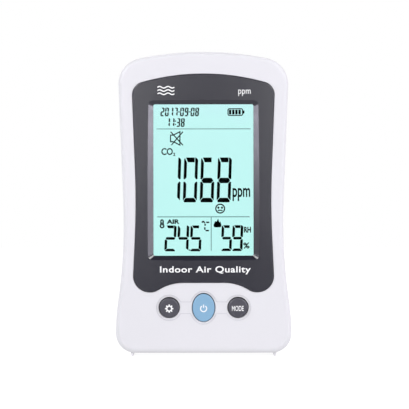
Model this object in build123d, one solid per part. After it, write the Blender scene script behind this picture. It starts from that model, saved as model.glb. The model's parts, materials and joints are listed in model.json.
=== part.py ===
"""Desktop carbon dioxide monitor: a waisted two-part case with a crowned front, a dark display bezel, three
keys, a segment display with its backlight, a main board, a gas sensor, a battery, two foot strips and a
fold-out stand.

Frame, in millimetres: +Z up, +X to the right of someone facing the display, +Y towards the back.
The origin is on the desk, under the middle of the case.
"""

from build123d import *

import math
import os

# ---------------------------------------------------------------- driving dimensions
FOOT_HEIGHT = 1.7
CASE_TOP = 162.0
CASE_BOTTOM = FOOT_HEIGHT
MID_HEIGHT = (CASE_TOP + CASE_BOTTOM) / 2
BEZEL_TOP = 150.3
CASE_ARC, BEZEL_ARC = 173.0, 122.0

# depths, from the front of the bezel to the back of the case
BEZEL_FRONT = -17.0
SHELL_FRONT = -16.6
BEZEL_BACK = -14.35
POCKET_FLOOR = -14.2
FRONT_WALL_BACK = -12.4
BOARD_FRONT = -6.0
BOARD_BACK = -4.4
PARTING = -3.0
REAR_WALL_FRONT = 14.8
REAR = 17.0

WALL = 2.2
LIP = 1.0
LIP_DEPTH = 1.3
FIT = 0.15
CROWN_ACROSS = 1200.0
CROWN_ALONG = 5000.0
FRONT_ROUND = 2.5
REAR_ROUND = 6.0
SEAM_BEVEL = 0.3

# display opening, its sloped surround, and what lies behind it
VIEW_WIDTH, VIEW_HEIGHT, VIEW_MIDDLE = 53.4, 80.7, 93.75
SURROUND_WIDTH, SURROUND_HEIGHT = 59.9, 85.4
SURROUND_FOOT = -14.95
WINDOW_WIDTH, WINDOW_HEIGHT, WINDOW_THICK = 58.4, 85.4, 1.2
GLASS_WIDTH, GLASS_THICK, FILM_THICK = 60.0, 1.1, 0.2
GLASS_TOP = 137.75
FRONT_GLASS_BOTTOM = 45.35
REAR_GLASS_BOTTOM = 49.75
GLASS_FRONT = -12.3
GUIDE_THICK = 3.0
GUIDE_BOTTOM = 52.0
GUIDE_TOP = 137.0
GUIDE_WIDTH = 58.0
GUIDE_POCKET_BOTTOM = 50.4
LAMP_STRIP = (-28, 28, -9.5, -6.7, 50.55, 51.05)
LAMPS, LAMP_PITCH, LAMP_HALF_WIDTH = 6, 9.4, 1.5
LAMP_FRONT, LAMP_BACK, LAMP_TOP = -9.1, -7.1, 51.9
HOLDER_SIDE, HOLDER_FIT = 2.0, 0.2
CONTACT_HALF_LENGTH, CONTACT_BOTTOM, CONTACT_TOP = 27.0, 46.3, 48.5

# keys
KEY_HEIGHT = 25.8
KEY_SPACING = 18.3
ROUND_KEY = 5.3
POWER_KEY = (5.9, 7.4)
KEY_GAP = 0.28
KEY_HOLE_RISE = 0.12
KEY_HOLE_ROUND = 0.35
KEY_FRONT = -16.7
KEY_ROUND = 0.8
KEY_FLANGE = 1.0
ISLAND_DEPTH = 0.35
SWITCH_SIZE, SWITCH_THICK = 6.0, 3.5
SWITCH_FOOT, SWITCH_FOOT_OUT, SWITCH_FOOT_RISE = (1.0, 0.3, 0.7), 0.4, 2.25
SWITCH_RIVET, SWITCH_RIVET_REACH = 0.4, 2.2
SWITCH_BORE, SWITCH_PLUNGER = 1.8, 1.7
PLUNGER_TIP = -11.0
KEY_POST = 1.8
KEY_NAMES = {-1: "settings", 0: "power", 1: "mode"}

# feet
FOOT_INSIDE, FOOT_OUTSIDE = 37.2, 38.9
FOOT_HALF_LENGTH, FOOT_SET, FOOT_FIT = 12.5, 2.42, 0.1

# stand
HINGE_HEIGHT = 73.5
HINGE_DEPTH = 14.8
STAND_WIDTH = 45.2
STAND_BOTTOM = 6.0
STAND_FRONT, STAND_BACK = 14.5, 16.9
RECESS_WIDTH = 46.0
RECESS_BOTTOM, RECESS_TOP = 5.6, 77.4
RECESS_FLOOR = 14.2
WELL_FLOOR = 12.9
WELL_BOTTOM = 68.5
BARREL = 1.8
TRUNNION, TRUNNION_HOLE = 1.32, 1.4
STAND_HEEL = 2.75
TRUNNION_REACH = 1.8
SCOOP = 6.5
SCOOP_HEIGHT = 20.0
STAND_PANEL, STAND_PANEL_MIDDLE, STAND_PANEL_DEPTH = (36.2, 34.0), 48.0, 0.5
STAND_GROOVES, GROOVE_BOTTOM, GROOVE_PITCH = 5, 13.0, 2.6
GROOVE_LENGTH, GROOVE_WIDTH, GROOVE_DEPTH = 24.0, 1.1, 0.4

# fasteners
CASE_SCREWS = [(34.5, 148.0), (-34.5, 148.0), (36.0, 14.0), (-36.0, 14.0)]
BOARD_SCREWS = [(x * side, z) for side in (1, -1) for x, z in ((35.3, 136.0), (35.3, 88.0), (31.0, 34.0))]
SCREW_HEAD, SCREW_SHANK = 2.8, 1.45
SCREW_SEAT = 6.4
SMALL_HEAD, SMALL_SHANK = 1.9, 0.95
SCREW_HEAD_HEIGHT, SMALL_HEAD_HEIGHT = 2.0, 1.3
SCREW_TIP, SMALL_TIP = -9.2, -9.6
CASE_BOSS, BOARD_BOSS, SCREW_TOWER = 3.2, 2.3, 4.6
SCREW_WELL, SCREW_CLEARANCE = 3.3, 1.7
CROSS_LENGTH, CROSS_WIDTH, CROSS_DEPTH = 3.2, 0.7, 1.0
SMALL_CROSS_LENGTH, SMALL_CROSS_WIDTH, SMALL_CROSS_DEPTH = 2.2, 0.5, 0.6

# electronics
BOARD_HALF_WIDTH = 38.0
BOARD_BOTTOM, BOARD_TOP = 20.0, 143.5
CRYSTAL, CRYSTAL_RADIUS, CRYSTAL_LENGTH = (14.0, 86.0), 1.0, 6.0
INDUCTOR, INDUCTOR_SIZE, INDUCTOR_THICK = (27.0, 44.0), 6.0, 3.0
INDUCTOR_RING = (1.3, 2.2, 0.6)
CAN_X, CAN_HEIGHTS, CAN_RADIUS, CAN_TALL, CAN_BASE = -29.0, (40.0, 48.5), 2.5, 5.4, 5.6
PORT_HEIGHT = 52.0
PORT_TAB, PORT_TAB_HALF = 39.8, 6.0
PORT_SHELL, PORT_HOLLOW = (2.6, 7.5), (2.0, 6.9)
PORT_LENGTH, PORT_OVERHANG = 5.6, 1.0
PORT_DEPTH = BOARD_BACK + 1.3
PORT_SLOT, PORT_SLOT_START = (3.4, 8.4), 38.0
PORT_SEAT, PORT_SEAT_START = (7.0, 11.6), 42.2
SENSOR_MIDDLE = (0.0, 120.0)
SENSOR_WIDTH, SENSOR_HEIGHT = 33.5, 20.0
SENSOR_STANDOFF = 2.5
SENSOR_BOARD_THICK = 1.0
SENSOR_BACK = BOARD_BACK + SENSOR_STANDOFF + SENSOR_BOARD_THICK
SENSOR_DEPTH = 6.5
CHAMBER = (27.0, 16.0)
PIN_PITCH, PINS_IN_ROW, PIN_ROW_REACH = 2.54, 4, 15.2
MEMBRANE_REACH, MEMBRANE, MEMBRANE_SEAT, MEMBRANE_FIT = 7.0, (8.0, 10.0), 0.4, 0.2
HUMIDITY, HUMIDITY_HALF, HUMIDITY_THICK = (-34.8, 124.0), 1.5, 1.1
BATTERY_BOX = (-17.0, 17.0, 3.7, 11.7, 15.0, 64.0)
BATTERY_SEAL = 4.0
VENT_ROWS, VENT_PITCH, VENT_BOTTOM = 9, 4.2, 99.0
VENT_LENGTH, VENT_WIDTH = 21.0, 1.8
VENT_COLUMN = 12.8
SIDE_VENTS, SIDE_VENT_PITCH, SIDE_VENT_BOTTOM = 5, 3.6, 116.0
SIDE_VENT_LENGTH, SIDE_VENT_WIDTH, SIDE_VENT_DEPTH = 9.0, 1.6, 6.0
BUZZER, BUZZER_RADIUS, BUZZER_THICK = (-27.0, 86.0), 6.0, 7.5
BUZZER_SLOT = (7.0, 1.4, 3.0)
PLUG, PLUG_LENGTH, PLUG_HALF_WIDTH = (22.0, 72.0), 6.0, 2.6
LEAD_RADIUS = 0.6


# ---------------------------------------------------------------- helpers
def upright(y):
    """A plane at depth y that faces the viewer, so that a sketch's X and Y are the case's X and Z."""
    return Plane(origin=(0, y, 0), x_dir=(1, 0, 0), z_dir=(0, -1, 0))


def slab(sketch, front, back):
    """A sketch drawn in X and Z, made solid from one depth to another."""
    return extrude(upright(back) * sketch, amount=back - front)


def bar(x, z, radius, front, back):
    """A round bar along Y."""
    return slab(Pos(x, z) * Circle(radius), front, back)


def block(x0, x1, y0, y1, z0, z1):
    """A box given by its limits."""
    middle = Pos((x0 + x1) / 2, (y0 + y1) / 2, (z0 + z1) / 2)
    return middle * Box(x1 - x0, y1 - y0, z1 - z0)


def plate(width, height, middle_z, front, back, corner=0.0, x=0.0):
    """A flat plate across the case, with rounded corners where corner is given."""
    outline = RectangleRounded(width, height, corner) if corner else Rectangle(width, height)
    return slab(Pos(x, middle_z) * outline, front, back)


def mirrored_outline(points, arc_radius, top):
    """A closed outline from one half's corners: a wide arc over the top, and straight sides."""
    corner_x = points[0][0]
    drop = arc_radius - math.sqrt(arc_radius**2 - corner_x**2)
    right = [(corner_x, top - drop)] + points[1:]
    left = [(-x, z) for x, z in reversed(right)]
    with BuildSketch() as sketch:
        with BuildLine():
            ThreePointArc(left[-1], (0, top), right[0])
            Polyline(*right, *left)
        make_face()
    return sketch.sketch


def round_corners(face, corners):
    """Rounds the outline's corners, both sides at once. corners holds (x, z, radius)."""
    for x, z, radius in corners:
        picked = [v for v in face.vertices() if math.hypot(abs(v.X) - x, v.Y - z) < 0.2]
        face = fillet(picked, radius)
    return face


def top_corner(x, arc_radius, top):
    return top - (arc_radius - math.sqrt(arc_radius**2 - x**2))


def crowned_block(apex):
    """All that lies behind a front surface that bulges slightly, both across and along the case."""
    reach = 110.0
    drop = CROWN_ALONG - math.sqrt(CROWN_ALONG**2 - reach**2)
    with BuildSketch(Plane.YZ) as profile:
        with BuildLine():
            low, high = (apex + drop, MID_HEIGHT - reach), (apex + drop, MID_HEIGHT + reach)
            ThreePointArc(low, (apex, MID_HEIGHT), high)
            Polyline(high, (30, MID_HEIGHT + reach), (30, MID_HEIGHT - reach), low)
        make_face()
    axis = Axis((0, apex + CROWN_ACROSS, 0), (0, 0, 1))
    swing = 10.0
    half_turned = profile.sketch.rotate(axis, -swing / 2)
    return revolve(half_turned, axis, swing)


def edges_at(shape, depth, reach=0.01):
    """The edges that lie in one plane across the case."""
    return [e for e in shape.edges() if all(abs(v.Y - depth) < reach for v in e.vertices())]


def wire_through(points, radius):
    """A round lead along straight runs joined by arcs as large as the runs allow. Prints its arcs' radii."""
    route = [Vector(*p) for p in points]
    radii = []
    for before, here, after in zip(route, route[1:], route[2:]):
        turn = math.radians((here - before).get_angle(after - here))
        run = min((here - before).length, (after - here).length)
        radii.append(0.45 * run / math.tan(turn / 2))
    path = FilletPolyline(*route, radius=radii)
    section = Plane(origin=path @ 0, z_dir=path % 0) * Circle(radius)
    print("lead", round(path.length, 1), "mm long, arc radii", [round(r, 1) for r in radii])
    return sweep(section, path)


# ---------------------------------------------------------------- outlines
def case_outline(inset=0.0):
    """The case seen from the front: arched top, narrow waist, flared base."""
    corner, waist, flare = 45.7, (41.71, 57.9), (46.75, 19.6)
    face = mirrored_outline([(corner, 0), waist, flare, (flare[0], CASE_BOTTOM)], CASE_ARC, CASE_TOP)
    face = round_corners(
        face,
        [
            (corner, top_corner(corner, CASE_ARC, CASE_TOP), 14.0),
            (*waist, 290.0),
            (*flare, 100.0),
            (flare[0], CASE_BOTTOM, 10.4),
        ],
    )
    return offset(face, -inset) if inset else face


def bezel_outline(inset=0.0):
    """The bezel seen from the front: arched top, slight waist, and two lobes with a raised middle between."""
    corner, waist = 38.1, (35.65, 80.8)
    lobe, lobe_inside, middle = (37.85, 34.0), (26.2, 34.0), (17.3, 39.05)
    face = mirrored_outline([(corner, 0), waist, lobe, lobe_inside, middle], BEZEL_ARC, BEZEL_TOP)
    face = round_corners(
        face,
        [
            (corner, top_corner(corner, BEZEL_ARC, BEZEL_TOP), 7.0),
            (*waist, 400.0),
            (*lobe, 8.7),
            (*lobe_inside, 7.6),
            (*middle, 24.0),
        ],
    )
    return offset(face, -inset) if inset else face


def key_outline(side, grow=0.0):
    """side is -1 for the settings key, 0 for the power key and 1 for the mode key."""
    if side:
        return Pos(side * KEY_SPACING, KEY_HEIGHT) * Circle(ROUND_KEY + grow)
    return Pos(0, KEY_HEIGHT) * Ellipse(POWER_KEY[0] + grow, POWER_KEY[1] + grow)


def island_outline():
    """The shallow dished area that joins the three keys' surrounds."""
    neck_half_height, blend = 3.1, 2.2
    joined = key_outline(-1, 1.5) + key_outline(0, 1.4) + key_outline(1, 1.5)
    joined = joined + Pos(0, KEY_HEIGHT) * Rectangle(2 * KEY_SPACING, 2 * neck_half_height)
    face = joined.faces()[0]
    necks = [v for v in face.vertices() if abs(abs(v.Y - KEY_HEIGHT) - neck_half_height) < 0.01]
    return fillet(necks, blend)


# ---------------------------------------------------------------- case
def port_cut():
    """The slot for the charging plug, with a shallow seat round it for the plug's grip."""
    middle = Pos(PORT_DEPTH, PORT_HEIGHT)
    slot = Plane.YZ.offset(PORT_SLOT_START) * (middle * RectangleRounded(*PORT_SLOT, 1.0))
    seat = Plane.YZ.offset(PORT_SEAT_START) * (middle * RectangleRounded(*PORT_SEAT, 1.6))
    return extrude(slot, amount=12) + extrude(seat, amount=8)


def foot_groove(side):
    """The groove that a foot strip is pressed into, across both shells."""
    reach = FOOT_HALF_LENGTH + FOOT_FIT
    sides = sorted((side * (FOOT_INSIDE - FOOT_FIT), side * (FOOT_OUTSIDE + FOOT_FIT)))
    return block(*sides, -reach, reach, 0, FOOT_SET + 0.08)


def key_hole_rims(shell):
    """The front edges of the three key holes: the closed curves in the shell's front."""
    return [e for e in shell.edges() if e.is_closed and e.bounding_box().max.Y < POCKET_FLOOR]


def front_shell():
    form = slab(case_outline(), -20, PARTING) & crowned_block(SHELL_FRONT)
    rim = [e for e in form.edges() if e.center().Y < (SHELL_FRONT + PARTING) / 2]
    front_rim = [e for e in rim if all(v.Y < SHELL_FRONT + 3 for v in e.vertices())]
    form = fillet(front_rim, FRONT_ROUND)
    form = chamfer(edges_at(form, PARTING), SEAM_BEVEL)
    shell = form - slab(case_outline(WALL), FRONT_WALL_BACK, 0)
    shell -= slab(case_outline(WALL - LIP - FIT), PARTING - LIP_DEPTH - FIT, 0)
    shell -= slab(bezel_outline(-0.12), -20, POCKET_FLOOR)
    shell -= plate(WINDOW_WIDTH + 0.6, WINDOW_HEIGHT + 0.6, VIEW_MIDDLE, -16, -12, corner=1.5)
    island = slab(island_outline(), -20, -10) - crowned_block(SHELL_FRONT + ISLAND_DEPTH)
    shell -= island
    for side in (-1, 0, 1):
        shell -= slab(Pos(0, KEY_HOLE_RISE) * key_outline(side, KEY_GAP), -20, -10)
    shell = fillet(key_hole_rims(shell), KEY_HOLE_ROUND)
    for x, z in CASE_SCREWS:
        shell += bar(x, z, CASE_BOSS, FRONT_WALL_BACK - 0.2, PARTING - 0.1)
        shell -= bar(x, z, SCREW_SHANK + 0.05, SCREW_TIP - 0.8, 0)
    for x, z in BOARD_SCREWS:
        shell += bar(x, z, BOARD_BOSS, FRONT_WALL_BACK - 0.2, BOARD_FRONT)
        shell -= bar(x, z, SMALL_SHANK + 0.05, SMALL_TIP - 0.9, 0)
    for side in (-1, 1):
        shell -= foot_groove(side)
    return shell - port_cut()


def rear_form():
    form = slab(case_outline(), PARTING, REAR)
    form = fillet(edges_at(form, REAR), REAR_ROUND)
    return chamfer(edges_at(form, PARTING), SEAM_BEVEL)


def scoops(radius, front):
    """Round finger scoops on both sides of the stand."""
    return [bar(side * RECESS_WIDTH / 2, SCOOP_HEIGHT, radius, front, REAR + 1) for side in (-1, 1)]


def rear_vents():
    slot = SlotOverall(VENT_LENGTH, VENT_WIDTH)
    cuts = []
    for row in range(VENT_ROWS):
        for column in (-VENT_COLUMN, VENT_COLUMN):
            place = Pos(column, VENT_BOTTOM + row * VENT_PITCH)
            cuts.append(slab(place * slot, REAR_WALL_FRONT - 1, REAR + 1))
    return cuts


def side_vents():
    """Slots through the upper left wall, beside the humidity sensor."""
    outline = Pos(SIDE_VENT_DEPTH, 0) * SlotOverall(SIDE_VENT_LENGTH, SIDE_VENT_WIDTH)
    slot = extrude(Plane.YZ.offset(-50) * outline, amount=12)
    return [Pos(0, 0, SIDE_VENT_BOTTOM + SIDE_VENT_PITCH * i) * slot for i in range(SIDE_VENTS)]


def buzzer_vents():
    """Three upright slots over the buzzer."""
    length, width, pitch = BUZZER_SLOT
    slot = SlotOverall(length, width, rotation=90)
    places = [Pos(BUZZER[0] + pitch * i, BUZZER[1]) for i in (-1, 0, 1)]
    return [slab(place * slot, REAR_WALL_FRONT - 1, REAR + 1) for place in places]


def stand_housing():
    """The thicker wall behind the stand's recess, its hinge well, its bearings and the finger scoops."""
    middle = (RECESS_BOTTOM + RECESS_TOP) / 2
    height = RECESS_TOP - RECESS_BOTTOM
    behind = plate(RECESS_WIDTH + 4, height + 4, middle, RECESS_FLOOR - 2.0, REAR_WALL_FRONT + 0.2)
    well_middle = (RECESS_TOP + WELL_BOTTOM) / 2
    well = plate(RECESS_WIDTH + 8, RECESS_TOP - WELL_BOTTOM + 4, well_middle, WELL_FLOOR - 1.8, 15)
    under_scoops = scoops(SCOOP + 1.8, RECESS_FLOOR - 2.0)
    trimmed = [s & block(-60, 60, 0, REAR_WALL_FRONT + 0.2, 0, 90) for s in under_scoops]
    return behind + well + trimmed[0] + trimmed[1]


def stand_recess():
    middle = (RECESS_BOTTOM + RECESS_TOP) / 2
    height = RECESS_TOP - RECESS_BOTTOM
    cut = plate(RECESS_WIDTH, height, middle, RECESS_FLOOR, REAR + 1, corner=2.0)
    well_middle = (RECESS_TOP + WELL_BOTTOM) / 2
    cut += plate(RECESS_WIDTH, RECESS_TOP - WELL_BOTTOM, well_middle, WELL_FLOOR, REAR, corner=1.0)
    hinge = Plane.YZ * (Pos(HINGE_DEPTH, HINGE_HEIGHT) * Circle(TRUNNION_HOLE))
    cut += extrude(hinge, amount=RECESS_WIDTH / 2 + TRUNNION_REACH + 0.3, both=True)
    for scoop in scoops(SCOOP, RECESS_FLOOR):
        cut += scoop
    return cut


def rear_cover():
    cover = rear_form() - slab(case_outline(WALL), -10, REAR_WALL_FRONT)
    lip = slab(case_outline(WALL - LIP), PARTING - LIP_DEPTH, PARTING + 2)
    cover += lip - slab(case_outline(WALL), -10, 5)
    inside = slab(case_outline(WALL - 0.5), PARTING, REAR_WALL_FRONT + 0.5)
    cover += stand_housing() & inside
    for x, z in CASE_SCREWS:
        cover += bar(x, z, CASE_BOSS, PARTING, 5.0)
        cover += bar(x, z, SCREW_TOWER, SCREW_SEAT - 2.0, REAR_WALL_FRONT + 0.5)
        cover -= bar(x, z, SCREW_WELL, SCREW_SEAT, REAR + 1)
        cover -= bar(x, z, SCREW_CLEARANCE, PARTING - 1, REAR)
    cover -= stand_recess()
    for cut in rear_vents() + side_vents() + buzzer_vents():
        cover -= cut
    for side in (-1, 1):
        cover -= foot_groove(side)
    return cover - port_cut()


def case_screws():
    """Four pan-head screws, each with a cross recess, from the back into the front shell's bosses."""
    screws = []
    for x, z in CASE_SCREWS:
        top = SCREW_SEAT + SCREW_HEAD_HEIGHT
        head = bar(x, z, SCREW_HEAD, SCREW_SEAT, top)
        head = fillet(edges_at(head, top), 0.7)
        cross = plate(CROSS_LENGTH, CROSS_WIDTH, z, top - CROSS_DEPTH, top + 1.0, x=x)
        cross += plate(CROSS_WIDTH, CROSS_LENGTH, z, top - CROSS_DEPTH, top + 1.0, x=x)
        screws.append(head + bar(x, z, SCREW_SHANK, SCREW_TIP, SCREW_SEAT) - cross)
    return Compound(children=[s.solid() for s in screws])


def foot_strip(side):
    """A rubber strip under the case, in a groove across both shells: straight inside, slanting outside."""
    slant, tread = 1.95, (FOOT_INSIDE + 0.3, FOOT_OUTSIDE - 0.6)
    corners = [
        (FOOT_INSIDE, FOOT_SET),
        (FOOT_OUTSIDE, FOOT_SET),
        (FOOT_OUTSIDE, slant),
        (tread[1], 0),
        (tread[0], 0),
        (FOOT_INSIDE, FOOT_HEIGHT),
    ]
    outline = Polyline(*[(side * x, z) for x, z in corners], close=True)
    return slab(make_face(outline), -FOOT_HALF_LENGTH, FOOT_HALF_LENGTH)


def dust_filter():
    """A thin woven sheet stuck behind the rear vents."""
    height = VENT_ROWS * VENT_PITCH + 3
    middle = VENT_BOTTOM + (VENT_ROWS - 1) * VENT_PITCH / 2
    return plate(50, height, middle, REAR_WALL_FRONT - 0.4, REAR_WALL_FRONT, corner=2)


def stand():
    """The fold-out stand: a plate with a hinge barrel, two trunnions, a stop heel and grip grooves."""
    top, bottom = HINGE_HEIGHT + STAND_HEEL, STAND_BOTTOM
    leaf = plate(STAND_WIDTH, top - bottom, (top + bottom) / 2, STAND_FRONT, STAND_BACK)
    upper = [e for e in leaf.edges() if e.center().Z > top - 0.1 and e.center().Y > STAND_BACK - 0.1]
    leaf = fillet(upper, 1.6)
    corners = [e for e in leaf.edges().filter_by(Axis.Y) if e.center().Z < bottom + 1]
    leaf = fillet(corners, 1.8)
    leaf -= plate(*STAND_PANEL, STAND_PANEL_MIDDLE, STAND_BACK - STAND_PANEL_DEPTH, REAR, corner=3)
    for i in range(STAND_GROOVES):
        groove = Pos(0, GROOVE_BOTTOM + GROOVE_PITCH * i) * SlotOverall(GROOVE_LENGTH, GROOVE_WIDTH)
        leaf -= slab(groove, STAND_BACK - GROOVE_DEPTH, REAR)
    hinge = Plane.YZ * (Pos(HINGE_DEPTH, HINGE_HEIGHT) * Circle(BARREL))
    leaf += extrude(hinge, amount=STAND_WIDTH / 2, both=True)
    pins = Plane.YZ * (Pos(HINGE_DEPTH, HINGE_HEIGHT) * Circle(TRUNNION))
    leaf += extrude(pins, amount=STAND_WIDTH / 2 + TRUNNION_REACH, both=True)
    inside_form = fillet(edges_at(slab(case_outline(0.1), 0, STAND_BACK), STAND_BACK), REAR_ROUND - 0.1)
    return leaf & inside_form


# ---------------------------------------------------------------- bezel and display
def display_bezel():
    form = slab(bezel_outline(), -20, BEZEL_BACK) & crowned_block(BEZEL_FRONT)
    outer = [e for e in form.edges() if all(v.Y < BEZEL_BACK - 1 for v in e.vertices())]
    form = fillet(outer, 0.55)
    near = upright(SURROUND_FOOT) * (Pos(0, VIEW_MIDDLE) * RectangleRounded(VIEW_WIDTH, VIEW_HEIGHT, 1.2))
    ahead = 1.0
    slope_x = (SURROUND_WIDTH - VIEW_WIDTH) / (SURROUND_FOOT - BEZEL_FRONT - 0.25)
    slope_z = (SURROUND_HEIGHT - VIEW_HEIGHT) / (SURROUND_FOOT - BEZEL_FRONT - 0.25)
    reach = SURROUND_FOOT - BEZEL_FRONT + ahead
    far_outline = RectangleRounded(VIEW_WIDTH + slope_x * reach, VIEW_HEIGHT + slope_z * reach, 3.2)
    far = upright(SURROUND_FOOT - reach) * (Pos(0, VIEW_MIDDLE) * far_outline)
    surround = loft([near.face(), far.face()], ruled=True)
    opening = plate(VIEW_WIDTH, VIEW_HEIGHT, VIEW_MIDDLE, SURROUND_FOOT - 0.05, -12, corner=1.2)
    return form - surround - opening


def bezel_adhesive():
    """A die-cut tape that holds the bezel to the shell and to the window."""
    outer = slab(bezel_outline(1.0), BEZEL_BACK, POCKET_FLOOR)
    return outer - plate(VIEW_WIDTH + 1.2, VIEW_HEIGHT + 1.2, VIEW_MIDDLE, -20, 0, corner=1.5)


def display_window():
    back = POCKET_FLOOR + WINDOW_THICK
    return plate(WINDOW_WIDTH, WINDOW_HEIGHT, VIEW_MIDDLE, POCKET_FLOOR, back, corner=1.3)


def layer(width, bottom, top, front, thick):
    return plate(width, top - bottom, (top + bottom) / 2, front, front + thick)


def display_stack():
    """The layers of the segment display and its backlight, front to back."""
    second_glass = GLASS_FRONT + GLASS_THICK
    rear_film = second_glass + GLASS_THICK
    guide = rear_film + 2 * FILM_THICK
    margin = 1.5
    film_width = GLASS_WIDTH - 2 * margin
    film_bottom, film_top = REAR_GLASS_BOTTOM + margin, GLASS_TOP - margin
    return {
        "lcd_front_polarizer": layer(film_width, film_bottom, film_top, GLASS_FRONT - FILM_THICK, FILM_THICK),
        "lcd_front_glass": layer(GLASS_WIDTH, FRONT_GLASS_BOTTOM, GLASS_TOP, GLASS_FRONT, GLASS_THICK),
        "lcd_rear_glass": layer(GLASS_WIDTH, REAR_GLASS_BOTTOM, GLASS_TOP, second_glass, GLASS_THICK),
        "lcd_rear_polarizer": layer(film_width, film_bottom, film_top, rear_film, FILM_THICK),
        "backlight_diffuser": layer(GUIDE_WIDTH, GUIDE_BOTTOM, GUIDE_TOP, rear_film + FILM_THICK, FILM_THICK),
        "backlight_guide": layer(GUIDE_WIDTH, GUIDE_BOTTOM, GUIDE_TOP, guide, GUIDE_THICK),
        "backlight_reflector": layer(GUIDE_WIDTH, GUIDE_BOTTOM, GUIDE_TOP, guide + GUIDE_THICK, FILM_THICK),
    }


def backlight_leds():
    """A strip of six edge lamps under the light guide."""
    strip = block(*LAMP_STRIP)
    for i in range(LAMPS):
        x = (i - (LAMPS - 1) / 2) * LAMP_PITCH
        left, right = x - LAMP_HALF_WIDTH, x + LAMP_HALF_WIDTH
        strip += block(left, right, LAMP_FRONT, LAMP_BACK, LAMP_STRIP[5] - 0.05, LAMP_TOP)
    return strip


def display_holder():
    """The moulded frame that clamps the glass and the backlight against the board."""
    bottom, top = FRONT_GLASS_BOTTOM - HOLDER_SIDE, GLASS_TOP + HOLDER_SIDE
    outer_width = GLASS_WIDTH + 2 * HOLDER_SIDE
    frame = layer(outer_width, bottom, top, FRONT_WALL_BACK, BOARD_FRONT - FRONT_WALL_BACK)
    back_of_front_glass = GLASS_FRONT + GLASS_THICK
    back_of_films = back_of_front_glass + GLASS_THICK + FILM_THICK
    fit = HOLDER_FIT
    width = GLASS_WIDTH + 2 * fit
    frame -= layer(width, FRONT_GLASS_BOTTOM - fit, GLASS_TOP + fit, -13, back_of_front_glass + 13)
    frame -= layer(width, REAR_GLASS_BOTTOM - fit, GLASS_TOP + fit, -13, back_of_films + 13)
    frame -= layer(GUIDE_WIDTH + 2 * fit, GUIDE_POCKET_BOTTOM, GUIDE_TOP + fit, -12, 12)
    slot_reach = CONTACT_HALF_LENGTH + fit
    return frame - block(-slot_reach, slot_reach, -12, 0, CONTACT_BOTTOM - fit, CONTACT_TOP + fit)


def contact_strip():
    """The elastomeric strip that joins the front glass's contacts to the board."""
    reach, front = CONTACT_HALF_LENGTH, GLASS_FRONT + GLASS_THICK
    return block(-reach, reach, front, BOARD_FRONT, CONTACT_BOTTOM, CONTACT_TOP)


# ---------------------------------------------------------------- keys
def key(side):
    """A key cap with a rounded rim, a retaining flange and a post that bears on its switch."""
    flange_front = FRONT_WALL_BACK + 0.1
    flange_back = flange_front + KEY_FLANGE
    cap = slab(key_outline(side), KEY_FRONT, flange_front + 0.2)
    cap = fillet(edges_at(cap, KEY_FRONT), KEY_ROUND)
    cap += slab(key_outline(side, KEY_FLANGE), flange_front, flange_back)
    return cap + bar(side * KEY_SPACING, KEY_HEIGHT, KEY_POST, flange_back - 0.2, PLUNGER_TIP)


def switch_housing(side):
    x, half = side * KEY_SPACING, SWITCH_SIZE / 2
    front = BOARD_FRONT - SWITCH_THICK
    body = block(x - half, x + half, front, BOARD_FRONT, KEY_HEIGHT - half, KEY_HEIGHT + half)
    body = chamfer(body.edges().filter_by(Axis.Y), 0.5)
    for dx in (-1, 1):
        for dz in (-1, 1):
            foot_x = x + dx * (half + SWITCH_FOOT_OUT)
            foot_z = KEY_HEIGHT + dz * SWITCH_FOOT_RISE
            body += Pos(foot_x, BOARD_FRONT - SWITCH_FOOT[1] / 2, foot_z) * Box(*SWITCH_FOOT)
            rivet_x = x + dx * SWITCH_RIVET_REACH
            rivet_z = KEY_HEIGHT + dz * SWITCH_RIVET_REACH
            body += bar(rivet_x, rivet_z, SWITCH_RIVET, front - 0.15, front + 0.1)
    return body - bar(x, KEY_HEIGHT, SWITCH_BORE, front - 1, front + 1.2)


def switch_plunger(side):
    back = BOARD_FRONT - SWITCH_THICK + 0.75
    return bar(side * KEY_SPACING, KEY_HEIGHT, SWITCH_PLUNGER, PLUNGER_TIP, back)


# ---------------------------------------------------------------- electronics
def main_board():
    """The main board: a tab for the charging port, screw holes and a slot beside the humidity sensor."""
    half = BOARD_HALF_WIDTH
    tab_bottom, tab_top = PORT_HEIGHT - PORT_TAB_HALF, PORT_HEIGHT + PORT_TAB_HALF
    corners = [
        (-half, BOARD_BOTTOM),
        (half, BOARD_BOTTOM),
        (half, tab_bottom),
        (PORT_TAB, tab_bottom),
        (PORT_TAB, tab_top),
        (half, tab_top),
        (half, BOARD_TOP),
        (-half, BOARD_TOP),
    ]
    board = slab(make_face(Polyline(*corners, close=True)), BOARD_FRONT, BOARD_BACK)
    for x, z in BOARD_SCREWS:
        board -= bar(x, z, SMALL_SHANK + 0.2, -10, 0)
    upright_slot = block(-31.2, -30.0, -10, 0, 116, 132)
    level_slot = block(-38.5, -33.5, -10, 0, 130.6, 131.8)
    return board - upright_slot - level_slot


def board_screws():
    screws = []
    for x, z in BOARD_SCREWS:
        top = BOARD_BACK + SMALL_HEAD_HEIGHT
        head = fillet(edges_at(bar(x, z, SMALL_HEAD, BOARD_BACK, top), top), 0.5)
        cross = plate(SMALL_CROSS_LENGTH, SMALL_CROSS_WIDTH, z, top - SMALL_CROSS_DEPTH, 0, x=x)
        cross += plate(SMALL_CROSS_WIDTH, SMALL_CROSS_LENGTH, z, top - SMALL_CROSS_DEPTH, 0, x=x)
        screws.append(head + bar(x, z, SMALL_SHANK, SMALL_TIP, BOARD_BACK) - cross)
    return Compound(children=[s.solid() for s in screws])


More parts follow.
